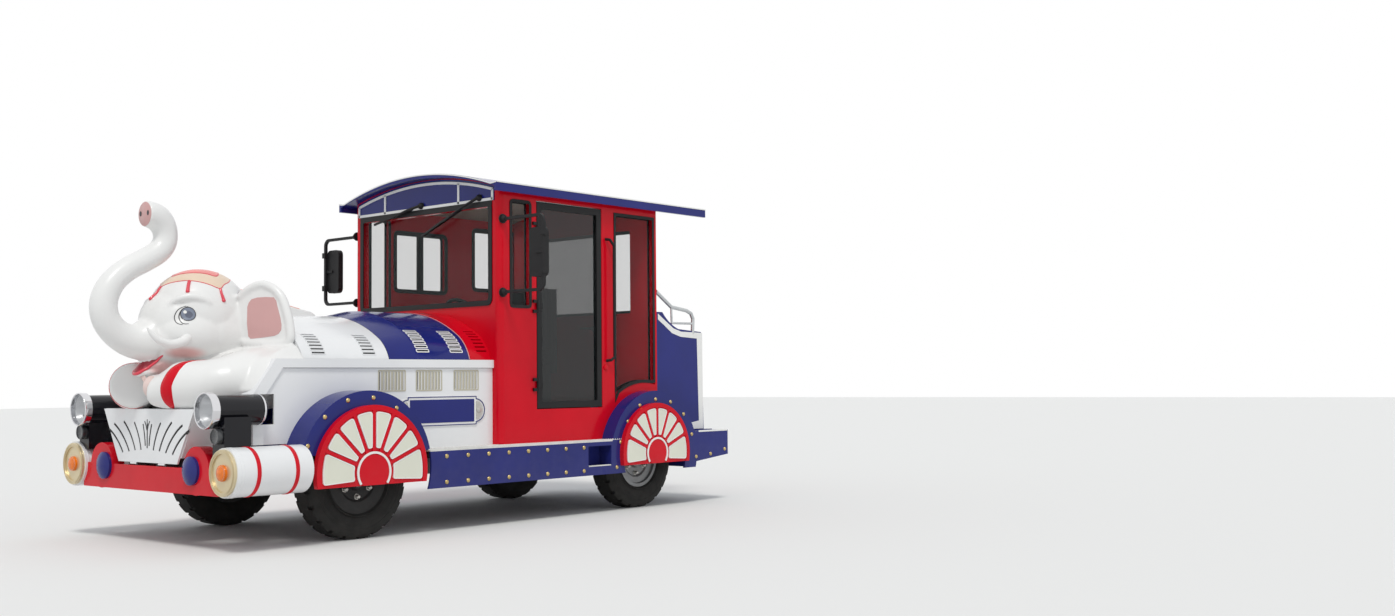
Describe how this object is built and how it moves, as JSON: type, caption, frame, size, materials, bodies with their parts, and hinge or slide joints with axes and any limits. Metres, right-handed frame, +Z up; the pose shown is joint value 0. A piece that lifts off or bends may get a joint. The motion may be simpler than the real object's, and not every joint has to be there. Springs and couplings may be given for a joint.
{
  "type": "tourist road train locomotive",
  "caption": "Rubber-tyred sightseeing road-train locomotive in white, blue and red, with an elephant figurehead on its bonnet, a glazed cab, spoked half-wheel ornaments and a rear tow jaw.",
  "frame": {"origin": "centre of the bounding box in plan, on the ground under the tyres", "axes": "+X forward, +Y to the left, +Z up"},
  "size_m": [5.241, 2.67, 2.6358],
  "materials": {
    "black_plastic": "textured black",
    "black_steel": "satin black",
    "blue_paint": "gloss dark blue",
    "brushed_rail": "brushed tube",
    "champagne_metal": "satin champagne",
    "chassis_black": "satin black chassis paint",
    "chrome": "bright",
    "engine_grey": "cast and painted grey",
    "figure_white": "painted moulded glass fibre",
    "floor_rubber": "ribbed rubber mat",
    "lamp_glass": "clear moulded lens",
    "red_paint": "gloss red",
    "rim_black": "black",
    "rim_grey": "silver grey",
    "seat_cloth": "dark woven cloth",
    "spring_steel": "black painted spring steel",
    "tread_white": "white pressed tread plate",
    "tyre_rubber": "worn black rubber",
    "white_paint": "gloss white",
    "window_glass": "clear, faint green"
  },
  "bodies": {
    "chassis": {"bonnet_band": "blue_paint", "bonnet_barrel": "white_paint", "bonnet_cowl": "red_paint", "bonnet_sides": "white_paint", "buffers": "blue_paint", "bumper_cylinders": "white_paint", "cab_floor": "floor_rubber", "cab_front_wall": "red_paint", "cab_glass": "window_glass", "cab_left_wall": "red_paint", "cab_rear_wall": "red_paint", "cab_right_wall": "red_paint", "cab_roof": "blue_paint", "chassis_frame": "chassis_black", "cylinder_end_plates": "champagne_metal", "dashboard": "black_plastic", "elephant_ears": "figure_white", "elephant_forelegs": "figure_white", "elephant_head": "figure_white", "elephant_tusks": "figure_white", "engine_block": "engine_grey", "frame_crossmembers": "chassis_black", "front_axle_beam": "chassis_black", "front_bumper": "red_paint", "front_housing": "white_paint", "front_wheel_arches": "blue_paint", "grab_rails": "brushed_rail", "half_wheel_ornaments": "red_paint", "headlamp_bezels": "chrome", "headlamp_bodies": "black_plastic", "hinges": "black_steel", "lamp_lenses": "lamp_glass", "leaf_springs": "spring_steel", "mirrors": "black_plastic", "nameplates": "blue_paint", "rear_axle": "chassis_black", "rear_platform": "blue_paint", "rear_wheel_arches": "blue_paint", "running_boards": "tread_white", "seat_back_cushion": "seat_cloth", "seat_cushion": "seat_cloth", "seat_frame": "black_plastic", "side_skirts": "blue_paint", "steering_wheel": "black_plastic", "tail_panels": "blue_paint", "tow_jaw": "black_steel"},
    "knuckle_left": {"knuckle_left": "chassis_black"},
    "knuckle_right": {"knuckle_right": "chassis_black"},
    "cab_door": {"cab_door": "black_steel", "door_glass": "window_glass"},
    "grille_flap": {"grille_flap": "white_paint"},
    "wheel_front_left": {"rim_front_left": "rim_black", "tyre_front_left": "tyre_rubber"},
    "wheel_front_right": {"rim_front_right": "rim_black", "tyre_front_right": "tyre_rubber"},
    "wheel_rear_left": {"rim_rear_left": "rim_grey", "tyre_rear_left": "tyre_rubber"},
    "wheel_rear_right": {"rim_rear_right": "rim_grey", "tyre_rear_right": "tyre_rubber"}
  },
  "joints": [
    {"name": "steer_left", "type": "hinge", "parent": "chassis", "child": "knuckle_left", "pos_m": [1.2145, 0.64, 0.39], "axis": [0, 0, 1], "range_deg": [-25, 25]},
    {"name": "steer_right", "type": "hinge", "parent": "chassis", "child": "knuckle_right", "pos_m": [1.2145, -0.64, 0.39], "axis": [0, 0, 1], "range_deg": [-25, 25]},
    {"name": "spin_front_left", "type": "hinge", "parent": "knuckle_left", "child": "wheel_front_left", "pos_m": [1.2145, 0.775, 0.39], "axis": [0, 1, 0], "continuous": true},
    {"name": "spin_front_right", "type": "hinge", "parent": "knuckle_right", "child": "wheel_front_right", "pos_m": [1.2145, -0.775, 0.39], "axis": [0, 1, 0], "continuous": true},
    {"name": "spin_rear_left", "type": "hinge", "parent": "chassis", "child": "wheel_rear_left", "pos_m": [-1.5605, 0.75, 0.39], "axis": [0, 1, 0], "continuous": true},
    {"name": "spin_rear_right", "type": "hinge", "parent": "chassis", "child": "wheel_rear_right", "pos_m": [-1.5605, -0.75, 0.39], "axis": [0, 1, 0], "continuous": true},
    {"name": "door_swing", "type": "hinge", "parent": "chassis", "child": "cab_door", "pos_m": [-0.3885, 0.892, 1.6], "axis": [0, 0, -1], "range_deg": [0, 80]},
    {"name": "flap_tilt", "type": "hinge", "parent": "chassis", "child": "grille_flap", "pos_m": [2.2285, 0, 0.524], "axis": [0, 1, 0], "range_deg": [0, 80]}
  ],
  "couplings": [
    {"joint": "steer_right", "follows": "steer_left", "ratio": 1}
  ]
}
